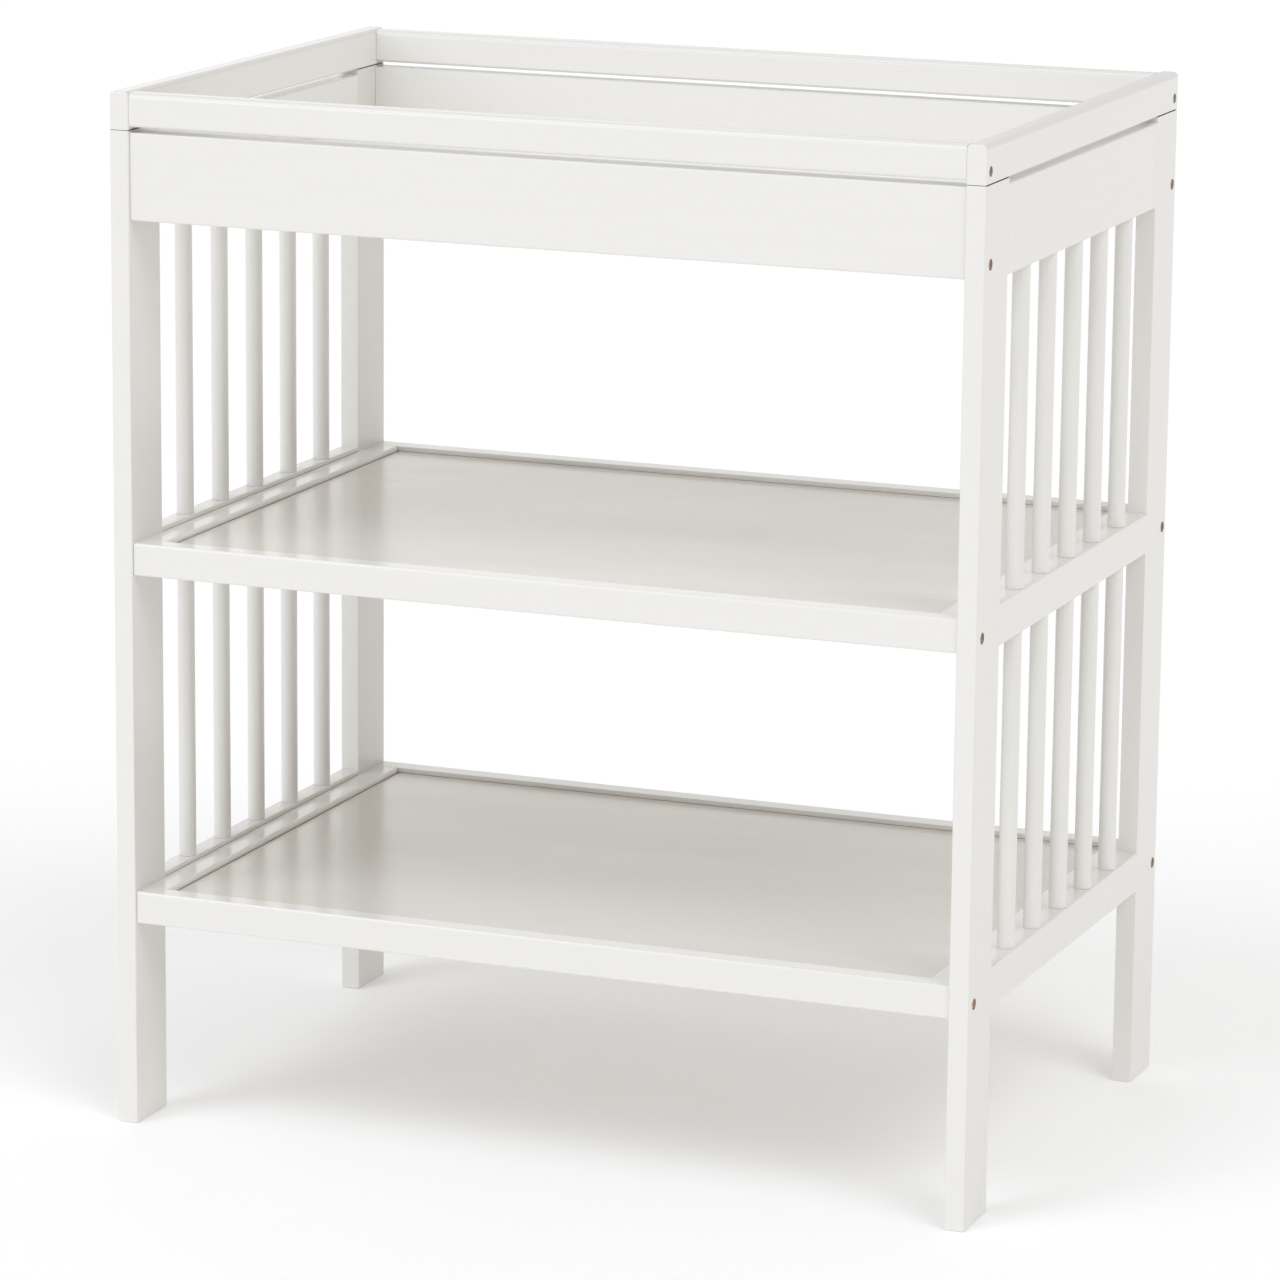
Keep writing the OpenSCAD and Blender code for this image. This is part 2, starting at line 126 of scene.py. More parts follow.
class Level(Choice):
    """An opening of the side frames, with the rails below and above it."""

    LOWER = ("bottom_rail", "mid_rail")
    UPPER = ("mid_rail", "side_apron")


def inner_outer(node: str, way: Side | End) -> Pair:
    """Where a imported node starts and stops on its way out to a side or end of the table."""
    inner, outer = sorted(corner[way.axis.value] * way.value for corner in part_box(node))
    return inner * way.value, outer * way.value


def all_edges(radius: float) -> Corners:
    """The same radius on the four edges along one axis."""
    return (radius, radius, radius, radius)


# ---- Modelling bench


@dataclass(frozen=True)
class EdgeRadii:
    """Radii on the edges of a board, four along each axis.

    The four start at the lowest corner of the section and go round it anticlockwise, so
    the edges along X are bottom front, bottom back, top back and top front.
    """

    along_x: Corners
    along_y: Corners
    along_z: Corners

    @property
    def largest(self) -> float:
        """The largest of all the radii."""
        return max(*self.along_x, *self.along_y, *self.along_z)


class Workpiece:
    """One mesh piece on the bench, shaped with Blender's own modelling tools."""

    def __init__(self, name: str) -> None:
        """Takes the blank that was just added and names it.

        Args:
            name: The piece's name.
        """
        bpy.ops.object.transform_apply(location=True, rotation=True, scale=True)
        self.thing = bpy.context.object
        self.thing.name = name
        self.thing.data.name = name

    @classmethod
    def block(cls, name: str, low: Vector, high: Vector) -> "Workpiece":
        """Saws a rectangular blank between its lowest and its highest corner."""
        bpy.ops.mesh.primitive_cube_add(size=1, location=(low + high) / 2, scale=high - low)
        return cls(name)

    @classmethod
    def rod(
        cls, name: str, start: Vector, end: Vector, diameter: float, sides: int
    ) -> "Workpiece":
        """Turns a round blank.

        Args:
            name: The piece's name.
            start: The middle of its first end.
            end: The middle of its other end.
            diameter: Its diameter.
            sides: The number of its sides.

        Returns:
            The blank.
        """
        along = end - start
        bpy.ops.mesh.primitive_cylinder_add(
            vertices=sides,
            radius=diameter / 2,
            depth=along.length,
            location=(start + end) / 2,
            rotation=along.to_track_quat("Z", "Y").to_euler(),
        )
        return cls(name)

    @contextmanager
    def editing(self, kind: str, wanted: FaceTest | EdgeTest) -> Iterator[None]:
        """Opens the piece in edit mode with some of it selected, and closes it afterwards.

        Args:
            kind: What is selected there, "FACE" or "EDGE".
            wanted: Says which faces or edges.

        Yields:
            Nothing; the operators inside act on what is selected.
        """
        self.activate()
        bpy.ops.object.mode_set(mode="EDIT")
        bpy.ops.mesh.select_mode(type=kind)
        bpy.ops.mesh.select_all(action="DESELECT")
        shape = bmesh.from_edit_mesh(self.thing.data)
        for part in filter(wanted, list(shape.faces if kind == "FACE" else shape.edges)):
            part.select_set(True)
        shape.select_flush_mode()
        bmesh.update_edit_mesh(self.thing.data)
        yield
        bpy.ops.object.mode_set(mode="OBJECT")

    def activate(self) -> None:
        """Makes this the only selected object, and the active one."""
        bpy.ops.object.select_all(action="DESELECT")
        self.thing.select_set(True)
        bpy.context.view_layer.objects.active = self.thing

    def split(self, axis: Axis, value: float) -> None:
        """Scores a line round the piece where a plane cuts it.

        Args:
            axis: The axis that the plane is square to.
            value: Where the plane stands on that axis.
        """
        point, normal = Vector(), Vector()
        point[axis.value] = value
        normal[axis.value] = 1
        with self.editing("FACE", lambda face: True):
            bpy.ops.mesh.bisect(plane_co=point, plane_no=normal)

    def build_out(self, wanted: FaceTest, by: Vector) -> None:
        """Extrudes the faces that a test wants into a step."""
        with self.editing("FACE", wanted):
            bpy.ops.mesh.extrude_region_move(TRANSFORM_OT_translate={"value": by})

    def step_ends(self, inset: float, by: float, wanted: FaceTest) -> None:
        """Draws a narrower step out of round ends.

        Args:
            inset: How much smaller in radius the step is.
            by: How far it stands out.
            wanted: Says which end faces.
        """
        with self.editing("FACE", wanted):
            bpy.ops.mesh.inset(thickness=inset, use_individual=True)
            bpy.ops.mesh.extrude_region_shrink_fatten(TRANSFORM_OT_shrink_fatten={"value": by})

    def carve(self, cutter: "Workpiece") -> None:
        """Cuts another piece's shape out of this one, and throws the cutter away.

        Args:
            cutter: The piece that is cut out.
        """
        cut = self.thing.modifiers.new("carve", "BOOLEAN")
        cut.operation = "DIFFERENCE"
        cut.solver = "EXACT"
        cut.object = cutter.thing
        self._apply(cut)
        cutter.discard()

    def weigh_board(self, radii: EdgeRadii) -> None:
        """Marks the twelve edges of a board for rounding.

        Args:
            radii: The radius of each edge; round_weighed is then given the largest.
        """
        low, high = self.box()
        for axis, four in zip(Axis, (radii.along_x, radii.along_y, radii.along_z)):
            first, second = axis.others
            for turn, radius in enumerate(four):
                point = Vector()
                point[first] = (high if turn in (1, 2) else low)[first]
                point[second] = (high if turn in (2, 3) else low)[second]
                self.weigh_line(axis, point, radius / radii.largest)

    def weigh_line(self, axis: Axis, point: Place | Vector, share: float) -> None:
        """Marks the edge through a point along an axis, as weigh_edges does."""
        self.weigh_edges(lambda edge: on_line(edge, axis, point), share)

    def weigh_edges(self, wanted: EdgeTest, share: float) -> None:
        """Adds a share of the radius of round_weighed to the edges that a test wants."""
        with self.editing("EDGE", wanted):
            bpy.ops.transform.edge_bevelweight(value=share)

    def round_weighed(self, radius: float, segments: int) -> None:
        """Rounds the marked edges.

        Args:
            radius: The radius of an edge that is marked in full.
            segments: The number of facets across a rounding.
        """
        rounding = self.thing.modifiers.new("round", "BEVEL")
        rounding.limit_method = "WEIGHT"
        rounding.width = radius
        rounding.segments = segments
        self._apply(rounding)

    def coat(self, finish: "Finish") -> None:
        """Shades roundings smooth and wide faces flat, and gives the whole piece a finish.

        Args:
            finish: The finish.
        """
        self.activate()
        bpy.ops.object.shade_smooth_by_angle(angle=SMOOTH_ANGLE)
        shading = self.thing.modifiers.new("shading", "WEIGHTED_NORMAL")
        shading.keep_sharp = True
        self._apply(shading)
        self.thing.data.materials.append(finish.material())

    def wear(self, finish: "Finish", wanted: FaceTest) -> None:
        """Gives another finish to some faces of a piece that has its coat.

        Args:
            finish: The finish.
            wanted: Says which faces.
        """
        self.thing.data.materials.append(finish.material())
        with self.editing("FACE", wanted):
            self.thing.active_material_index = len(self.thing.data.materials) - 1
            bpy.ops.object.material_slot_assign()

    def _apply(self, modifier: bpy.types.Modifier) -> None:
        """Applies a modifier to the mesh."""
        self.activate()
        bpy.ops.object.modifier_apply(modifier=modifier.name)

    def box(self) -> tuple[Vector, Vector]:
        """The lowest and highest corner of the mesh."""
        spans = list(zip(*(vertex.co for vertex in self.thing.data.vertices)))
        return Vector(min(span) for span in spans), Vector(max(span) for span in spans)

    def copy_to(self, name: str, move: Matrix) -> "Workpiece":
        """Makes another piece like this one, with its own mesh, at a place of its own.

        Args:
            name: The copy's name.
            move: Takes this piece's places to the copy's.

        Returns:
            The copy.
        """
        self.activate()
        bpy.ops.object.duplicate(linked=False)
        copied = Workpiece(name)
        copied.thing.data.transform(move)
        return copied

    def discard(self) -> None:
        """Throws the piece away."""
        bpy.data.meshes.remove(self.thing.data)

    def join_part(self, slot: str, *nodes: str) -> None:
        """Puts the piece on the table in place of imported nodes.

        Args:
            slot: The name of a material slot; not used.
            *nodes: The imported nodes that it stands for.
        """
        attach(self.thing, BODY)
        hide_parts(*nodes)
        log.info("%s made for %s", self.thing.name, ", ".join(nodes))


def on_line(edge: bmesh.types.BMEdge, axis: Axis, point: Place | Vector) -> bool:
    """Whether both ends of an edge are on the line through a point along an axis."""
    return all(
        abs(end.co[other] - point[other]) < NEAR for end in edge.verts for other in axis.others
    )


def edges_at(axis: Axis, value: float) -> EdgeTest:
    """A test for the edges whose ends both have one value on an axis."""
    return lambda edge: all(abs(end.co[axis.value] - value) < NEAR for end in edge.verts)


def faces_along(axis: Axis, sign: int) -> FaceTest:
    """A test for the faces that look along an axis: to its high end for 1, its low end for -1."""
    return lambda face: face.normal[axis.value] * sign > SQUARE_ON


def faces_in_wall(axis: Axis, value: float, low: float, high: float) -> FaceTest:
    """A test for the faces in a plane square to an axis that lie between two heights."""
    return lambda face: all(
        abs(corner.co[axis.value] - value) < NEAR and low - NEAR < corner.co.z < high + NEAR
        for corner in face.verts
    )


def faces_in_crack(level: float, reach: float) -> FaceTest:
    """A test for the faces that go no farther than a reach above or below a level."""
    return lambda face: all(abs(corner.co.z - level) < reach for corner in face.verts)


# ---- Finishes


class ShaderBench:
    """A material's node tree around one Principled shader, and short ways to add to it."""

    def __init__(self, name: str) -> None:
        """Starts a material.

        Args:
            name: The material's name.
        """
        self.material = bpy.data.materials.new(name)
        self.material.use_nodes = True
        self.tree = self.material.node_tree
        self.shader = self.tree.nodes["Principled BSDF"]

    def plug(self, node: bpy.types.Node, **inputs: Input) -> bpy.types.Node:
        """Sets or links a node's inputs; an underscore in a name stands for a space.

        Args:
            node: The node.
            **inputs: A value, or the socket to link, for each input.

        Returns:
            The node.
        """
        for name, value in inputs.items():
            socket = node.inputs[name.replace("_", " ")]
            if isinstance(value, Socket):
                self.tree.links.new(value, socket)
            else:
                socket.default_value = value
        return node

    def add(self, kind: str, **inputs: Input) -> bpy.types.Node:
        """Adds a node of a kind and plugs its inputs."""
        return self.plug(self.tree.nodes.new(f"ShaderNode{kind}"), **inputs)

    def noise(
        self,
        scale: Place,
        detail: float = 2.0,
        distortion: float = 0.0,
        turn: float = 0.0,
    ) -> Socket:
        """Adds noise on Object coordinates.

        Args:
            scale: Bumps per metre along each axis.
            detail: Layers of finer noise.
            distortion: How far the noise is pushed about.
            turn: The angle from the table's X to the noise's own X, seen from above.

        Returns:
            The socket with the noise, from 0 to 1.
        """
        place = self.add("TexCoord").outputs["Object"]
        for change in ({"Rotation": (0, 0, -turn)}, {"Scale": scale}):
            place = self.add("Mapping", Vector=place, **change).outputs["Vector"]
        shape = {"Scale": 1.0, "Detail": detail, "Distortion": distortion}
        return self.add("TexNoise", Vector=place, **shape).outputs["Fac"]

    def spread(self, source: Socket, low: float, high: float) -> Socket:
        """Spreads a pattern's middle over a range of values.

        Nothing is clamped, because a clamped pattern shows a contour line where it stops.

        Args:
            source: The pattern, from 0 to 1.
            low: The value where the pattern is weak.
            high: The value where it is strong.

        Returns:
            The socket with the value.
        """
        middle = {"From_Min": 0.25, "From_Max": 0.75}
        spread = self.add("MapRange", Value=source, **middle, To_Min=low, To_Max=high)
        spread.clamp = False
        return spread.outputs["Result"]

    def tint(self, source: Socket, low: Colour, high: Colour) -> Socket:
        """Runs a pattern between two colours.

        Args:
            source: The pattern, from 0 to 1.
            low: The colour where it is weak.
            high: The colour where it is strong.

        Returns:
            The socket with the colour.
        """
        mix = self.add("Mix")
        mix.data_type = "RGBA"
        mix.clamp_factor = False
        self.plug(mix, A=(*low, 1), B=(*high, 1), Factor=self.spread(source, 0, 1))
        return mix.outputs["Result"]

    def relief(self, *layers: tuple[Socket, float]) -> None:
        """Raises patterns from the surface.

        Args:
            *layers: Each pattern with its height in metres.
        """
        below: dict[str, Input] = {}
        for source, height in layers:
            bump = self.add("Bump", Height=source, Distance=height, **below)
            below = {"Normal": bump.outputs["Normal"]}
        self.plug(self.shader, **below)


def stretched(axis: Axis, along: float, across: float) -> Place:
    """A noise scale for streaks that follow an axis, in bumps per metre along and across it."""
    x, y, z = (along if other is axis else across for other in Axis)
    return x, y, z


class Finish:
    """A surface finish: its material is made once and then shared."""

    name: str

    def material(self) -> bpy.types.Material:
        """The finish's material, made the first time it is asked for."""
        return bpy.data.materials.get(self.name) or self.mix()

    def mix(self) -> bpy.types.Material:
        """Makes the material."""
        raise NotImplementedError


class Sheen(Choice):
    """How glossy a paint is, as its lowest and highest roughness."""

    SATIN = (0.24, 0.26)
    GLOSS = (0.155, 0.17)


@dataclass(frozen=True)
class WhitePaint(Finish):
    """Smooth white paint, with a trace of the wood's grain in its tone and gloss."""

    grain: Axis
    sheen: Sheen = Sheen.SATIN
    word: str = "white"
    colour: Colour = (0.82, 0.804, 0.768)
    thin_colour: Colour = (0.814, 0.798, 0.761)
    grain_scale: Pair = (4, 160)
    grain_height: float = 0.001 * MM
    peel_scale: Place = (900, 900, 900)
    peel_height: float = 0.003 * MM

    @property
    def name(self) -> str:
        """The material's name, with its sheen and the axis that its grain follows."""
        return f"{self.word}_{self.sheen.word}_paint_along_{self.grain.word}"

    def mix(self) -> bpy.types.Material:
        """Makes the paint: a faint grain and a fine peel.

        Returns:
            The material.
        """
        bench = ShaderBench(self.name)
        grain = bench.noise(stretched(self.grain, *self.grain_scale), detail=1)
        peel = bench.noise(self.peel_scale, detail=1)
        tone = bench.tint(grain, self.thin_colour, self.colour)
        bench.plug(bench.shader, Base_Color=tone, Roughness=bench.spread(grain, *self.sheen.value))
        bench.relief((grain, self.grain_height), (peel, self.peel_height))
        return bench.material


@dataclass(frozen=True)
class TrayPaint(WhitePaint):
    """The paint on the faces that line the tray and its side slots, a brighter white: painted
    bounce light.
    """

    word: str = "bright_white"
    colour: Colour = (0.90, 0.886, 0.852)
    thin_colour: Colour = (0.894, 0.88, 0.846)


@dataclass(frozen=True)
class PanelCoat(Finish):
    """Glossy warm-white coating on thin fibreboard, with soft strokes along it."""

    name: str = "panel_coat"
    colour: Colour = (0.692, 0.664, 0.613)
    dull_colour: Colour = (0.68, 0.652, 0.601)
    roughness: Pair = (0.26, 0.19)
    stroke_turn: float = math.radians(6)
    stroke_scale: Place = (3.0, 30, 3.0)
    tooth_scale: Place = (420, 900, 420)
    tooth_height: float = 0.004 * MM
    wave_scale: Place = (3.2, 4.5, 3.2)
    wave_height: float = 0.30 * MM

    def mix(self) -> bpy.types.Material:
        """Makes the coating: soft strokes, a fine tooth and the waves of a thin board.

        Returns:
            The material.
        """
        bench = ShaderBench(self.name)
        strokes = bench.noise(self.stroke_scale, turn=self.stroke_turn)
        tooth = bench.noise(self.tooth_scale, turn=self.stroke_turn)
        waves = bench.noise(self.wave_scale, detail=0)
        tone = bench.tint(strokes, self.dull_colour, self.colour)
        bench.plug(bench.shader, Base_Color=tone, Roughness=bench.spread(strokes, *self.roughness))
        bench.relief((waves, self.wave_height), (tooth, self.tooth_height))
        return bench.material


class Tone(Choice):
    """A wood's light and dark colour, also used as painted shade.

    Bare is on the dowels and brown in the bolts' recesses, where the wood is bare. Brown is also
    painted shade in the seams round the shelves, grey painted shade in the rim screws' recesses,
    and dark painted shade in the cracks between the legs and the rim.
    """

    BARE = ((0.66, 0.46, 0.27), (0.47, 0.29, 0.15))
    # Bare brown wood in the bolts' recesses, and painted shade in the seams and cracks round the
    # shelves.
    BROWN = ((0.52, 0.35, 0.23), (0.36, 0.23, 0.15))
    # Painted shade in the rim screws' recesses.
    GREY = ((0.42, 0.40, 0.37), (0.30, 0.28, 0.26))
    # Painted shade in the cracks between the legs and the rim.
    DARK = ((0.15, 0.11, 0.08), (0.09, 0.065, 0.045))


@dataclass(frozen=True)
class Wood(Finish):
    """Wood without paint; its shade tones paint shade into seams, cracks and recesses."""

    grain: Axis
    tone: Tone = Tone.BARE
    roughness: Pair = (0.6, 0.8)
    streak_scale: Pair = (18, 420)
    streak_height: float = 0.03 * MM
    pore_scale: Pair = (300, 2400)
    pore_height: float = 0.02 * MM

    @property
    def name(self) -> str:
        """The material's name, with its tone and the axis that its grain follows."""
        return f"{self.tone.word}_wood_along_{self.grain.word}"

    def mix(self) -> bpy.types.Material:
        """Makes the wood: long dark streaks and fine pores.

        Returns:
            The material.
        """
        bench = ShaderBench(self.name)
        streaks = bench.noise(stretched(self.grain, *self.streak_scale), detail=5, distortion=0.8)
        pores = bench.noise(stretched(self.grain, *self.pore_scale))
        light, dark = self.tone.value
        tone = bench.tint(streaks, dark, light)
        bench.plug(bench.shader, Base_Color=tone, Roughness=bench.spread(pores, *self.roughness))
        bench.relief((streaks, self.streak_height), (pores, self.pore_height))
        return bench.material


@dataclass(frozen=True)
class PlatedSteel(Finish):
    """Zinc-plated steel: a pale metal with a cloudy, finely scratched surface."""

    name: str = "zinc_plate"
    bright: Colour = (0.84, 0.84, 0.84)
    dull: Colour = (0.66, 0.66, 0.67)
    roughness: Pair = (0.28, 0.46)
    cloud_scale: Place = (240, 240, 240)
    scratch_scale: Pair = (400, 5200)
    scratch_height: float = 0.004 * MM

    def mix(self) -> bpy.types.Material:
        """Makes the plating: cloudy tone, uneven gloss and faint scratches.

        Returns:
            The material.
        """
        bench = ShaderBench(self.name)
        clouds = bench.noise(self.cloud_scale, detail=4)
        scratches = bench.noise(stretched(Axis.Y, *self.scratch_scale))
        tone = bench.tint(clouds, self.dull, self.bright)
        gloss = bench.spread(clouds, *self.roughness)
        bench.plug(bench.shader, Metallic=1.0, Base_Color=tone, Roughness=gloss)
        bench.relief((scratches, self.scratch_height))
        return bench.material


ZINC = PlatedSteel()


def dress_nodes(finishes: dict[str, Finish]) -> None:
    """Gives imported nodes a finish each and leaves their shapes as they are.

    Args:
        finishes: The finish for each node's name.
    """
    for node, finish in finishes.items():
        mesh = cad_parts[node].data
        mesh.materials.clear()
        mesh.materials.append(finish.material())
        log.info("%s dressed", node)


def make_board(look: str, node: str, radii: EdgeRadii, segments: int = 4) -> Workpiece:
    """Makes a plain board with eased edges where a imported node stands.

    Args:
        look: The word before the node's name in the piece's own.
        node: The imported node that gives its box.
        radii: The radius on each edge.
        segments: The number of facets across a rounding.

    Returns:
        The board, without its coat.
    """
    board = Workpiece.block(f"{look}_{node}", *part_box(node))
    board.weigh_board(radii)
    board.round_weighed(radii.largest, segments)
    return board


# ---- Fasteners


@dataclass(frozen=True)
class Fastener:
    """A bolt or screw with a round head and a hex socket."""

    head_d: float
    head_h: float
    shank_d: float
    length: float
    plating: Finish = ZINC
    head_edge_r: float = 0.5 * MM
    edge_facets: int = 3
    sides: int = 40

    def model(self, name: str) -> Workpiece:
        """Makes the fastener at the origin, with its head's top there and its shank along +X.

        Args:
            name: The piece's name.

        Returns:
            The fastener.
        """
        head_end = Vector((self.head_h, 0, 0))
        piece = Workpiece.rod(name, Vector(), head_end, self.head_d, self.sides)
        step = (self.head_d - self.shank_d) / 2
        piece.step_ends(step, self.length - self.head_h, faces_along(Axis.X, 1))
        for end_x in (0, self.length):
            piece.weigh_edges(edges_at(Axis.X, end_x), 1)
        piece.round_weighed(self.head_edge_r, self.edge_facets)
        key_d = self.head_d / 2
        key_tip = Vector((self.head_h / 2, 0, 0))
        piece.carve(Workpiece.rod("socket_key", Vector((-key_d, 0, 0)), key_tip, key_d, 6))
        piece.coat(self.plating)
        return piece


@dataclass(frozen=True)
class Recess:
    """A stepped hole for a fastener: a wide counterbore and a shank hole behind it."""

    head_d: float
    depth: float
    shank_d: float
    over: float = 1 * MM
    shank_l: float = 50 * MM
    sides: int = 48

    def sink(self, board: Workpiece, mouth: Vector, side: Side) -> None:
        """Bores the hole through a board from its outer face.

        Args:
            board: The board.
            mouth: The middle of the hole on the outer face.
            side: The side frame that the board belongs to; the hole runs away from it.
        """
        inwards = Vector((-side.value, 0, 0))
        start, floor = mouth - inwards * self.over, mouth + inwards * self.depth
        cutter = Workpiece.rod("boring_bit", start, floor, self.head_d, self.sides)
        step = (self.head_d - self.shank_d) / 2
        cutter.step_ends(step, self.shank_l, faces_along(Axis.X, -side.value))
        board.carve(cutter)

    def inner_faces(self, mouths: list[Vector]) -> FaceTest:
        """A test for the faces inside the holes, which wear no white paint: bare wood in the legs,
        painted grey shade in the rim.

        Args:
            mouths: The middles of the holes on the outer face.

        Returns:
            The test.
        """

        def inside(face: bmesh.types.BMFace) -> bool:
            """Whether a face lies within one of the holes and not in the board's outer face."""
            holes = [[corner.co - mouth for corner in face.verts] for mouth in mouths]
            return any(
                all(way.yz.length < self.head_d / 2 + NEAR for way in ways)
                and any(abs(way.x) > NEAR for way in ways)
                for ways in holes
            )

        return inside


# ---- Sub-assemblies


@dataclass(frozen=True, kw_only=True)
class Joinery:
    """The edge radii that the wooden sub-assemblies share."""

    shown_r: float = 1.5 * MM
    hidden_r: float = 0.6 * MM
    joint_r: float = 0.7 * MM
    inner_joint_r: float = 0.4 * MM
    back_joint_r: float = 2.1 * MM


@dataclass(frozen=True)
class SideFrame(Joinery):
    """One side of the table: two legs, two rails and an apron."""

    side: Side
    outer_joint_r: float = 0.5 * MM
    leg_facets: int = 6
    apron_top_r: float = 1.2 * MM
    seam_h: float = 0.3 * MM
    bolt_rise: float = 12 * MM
    recess: Recess = Recess(head_d=10 * MM, depth=5.5 * MM, shank_d=6.2 * MM)

    def build(self) -> None:
        """Makes the legs and rails."""
        for end in End:
            self.make_leg(end)
        for part in ("side_apron", "mid_rail", "bottom_rail"):
            self.make_rail(part)

    def bolt_mouths(self, end: End) -> list[Vector]:
        """The middles of a leg's bolt recesses on its outer face.

        Args:
            end: The leg's end of the table.

        Returns:
            The three points, from the bottom up.
        """
        outer_x = inner_outer(f"{self.side.word}_front_leg", self.side)[1]
        apron_low, apron_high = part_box(f"{end.word}_apron")
        bolt_y = (apron_low.y + apron_high.y) / 2
        held = (f"bottom_shelf_{end.word}_rail", f"mid_shelf_{end.word}_rail", f"{end.word}_apron")
        undersides = [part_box(node)[0].z for node in held]
        return [Vector((outer_x, bolt_y, z + self.bolt_rise)) for z in undersides]

    def make_leg(self, end: End) -> None:
        """Makes one leg, bored for its bolts and painted.

        Its wood is left bare and brown in the recesses, and the crack under the rim gets a painted
        dark shade.

        Args:
            end: Which leg.
        """
        node = f"{self.side.word}_{end.word}_leg"
        shown, hidden, joint = self.shown_r, self.hidden_r, self.joint_r
        along_x = (shown, shown, joint, joint)
        along_y = (shown, shown, *self.side.high_x_first(self.inner_joint_r, self.outer_joint_r))
        upright = (shown, shown, hidden, hidden)
        if end is End.BACK:
            along_x = (shown, shown, self.back_joint_r, joint)
            upright = (hidden, hidden, shown, shown)
        radii = EdgeRadii(along_x, along_y, upright)
        leg = make_board("painted", node, radii, self.leg_facets)
        mouths = self.bolt_mouths(end)
        for mouth in mouths:
            self.recess.sink(leg, mouth, self.side)
        leg.coat(WhitePaint(Axis.Z))
        # The recesses show the bare brown wood.
        leg.wear(Wood(Axis.Z, Tone.BROWN), self.recess.inner_faces(mouths))
        # Painted shade: the faces in the crack under the rim take a dark wood tone.
        leg.wear(Wood(Axis.Y, Tone.DARK), faces_in_crack(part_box(node)[1].z, joint / 2))
        leg.join_part("painted_frame", node)

    def make_rail(self, part: str) -> None:
        """Makes one rail or apron between the legs.

        A rail that carries a shelf is crisp along the shelf's batten, with a painted brown shade in
        the seam there.

        Args:
            part: The node's name without its side.
        """
        node = f"{self.side.word}_{part}"
        is_apron = part == "side_apron"
        shown, hidden = self.shown_r, self.hidden_r
        tops = (self.apron_top_r, self.apron_top_r) if is_apron else (hidden, shown)
        along_y = (shown, shown, *self.side.high_x_first(*tops))
        radii = EdgeRadii(all_edges(hidden), along_y, all_edges(hidden))
        rail = make_board("painted", node, radii)
        if is_apron:
            rail.coat(WhitePaint(Axis.Y, Sheen.GLOSS))
            # Painted bounce light: the inner face and top of an apron take a brighter white, for
            # the light bounced about in the tray and its side slots.
            rail.wear(TrayPaint(Axis.Y), faces_along(Axis.X, -self.side.value))
            rail.wear(TrayPaint(Axis.Y), faces_along(Axis.Z, 1))
        else:
            batten = f"{part.removesuffix('_rail')}_shelf_{self.side.word}_batten"
            seam_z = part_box(batten)[1].z + self.seam_h
            inner_x = inner_outer(node, self.side)[0]
            rail.split(Axis.Z, seam_z)
            rail.coat(WhitePaint(Axis.Y))
            # Painted shade: the inner face below the seam takes a brown wood tone, so that the seam
            # beside the batten shows dark.
            rail.wear(Wood(Axis.Y, Tone.BROWN), faces_in_wall(Axis.X, inner_x, 0, seam_z))
        rail.join_part("painted_frame", node)


@dataclass(frozen=True)
class SpindleRow:
    """The spindles of one opening, turned once and copied to every place on both sides."""

    level: Level
    tenon_d: float = 10 * MM
    shoulder_r: float = 0.5 * MM
    edge_facets: int = 3
    sides: int = 48

    def turn(self) -> Workpiece:
        """Turns the first spindle of the left side: a shaft with a tenon on each end.

        Returns:
            The spindle.
        """
        low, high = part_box(f"left_{self.level.word}_spindle_1")
        rail_below, rail_above = self.level.value
        middle = (low + high) / 2
        foot = Vector((middle.x, middle.y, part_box(f"left_{rail_below}")[1].z))
        top = Vector((middle.x, middle.y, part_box(f"left_{rail_above}")[0].z))
        diameter = high.x - low.x
        shaft = Workpiece.rod("spindle_blank", foot, top, diameter, self.sides)
        step = (diameter - self.tenon_d) / 2
        shaft.step_ends(step, high.z - top.z, lambda face: abs(face.normal.z) > SQUARE_ON)
        for tip_z, shoulder_z in ((low.z, foot.z), (high.z, top.z)):
            shaft.weigh_edges(edges_at(Axis.Z, tip_z), 1)
            shaft.weigh_edges(
                lambda edge: edges_at(Axis.Z, shoulder_z)(edge)
                and all((end.co - middle).xy.length > diameter / 2 - NEAR for end in edge.verts),
                1,
            )
        shaft.round_weighed(self.shoulder_r, self.edge_facets)
        shaft.coat(WhitePaint(Axis.Z))
        return shaft

    def build(self) -> None:
        """Copies the spindle to every place of this level."""
        blank = self.turn()
        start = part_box(f"left_{self.level.word}_spindle_1")[0]
        nodes = [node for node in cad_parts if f"_{self.level.word}_spindle_" in node]
        for node in nodes:
            spindle = blank.copy_to(f"turned_{node}", Matrix.Translation(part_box(node)[0] - start))
            spindle.join_part("painted_spindles", node)
        blank.discard()


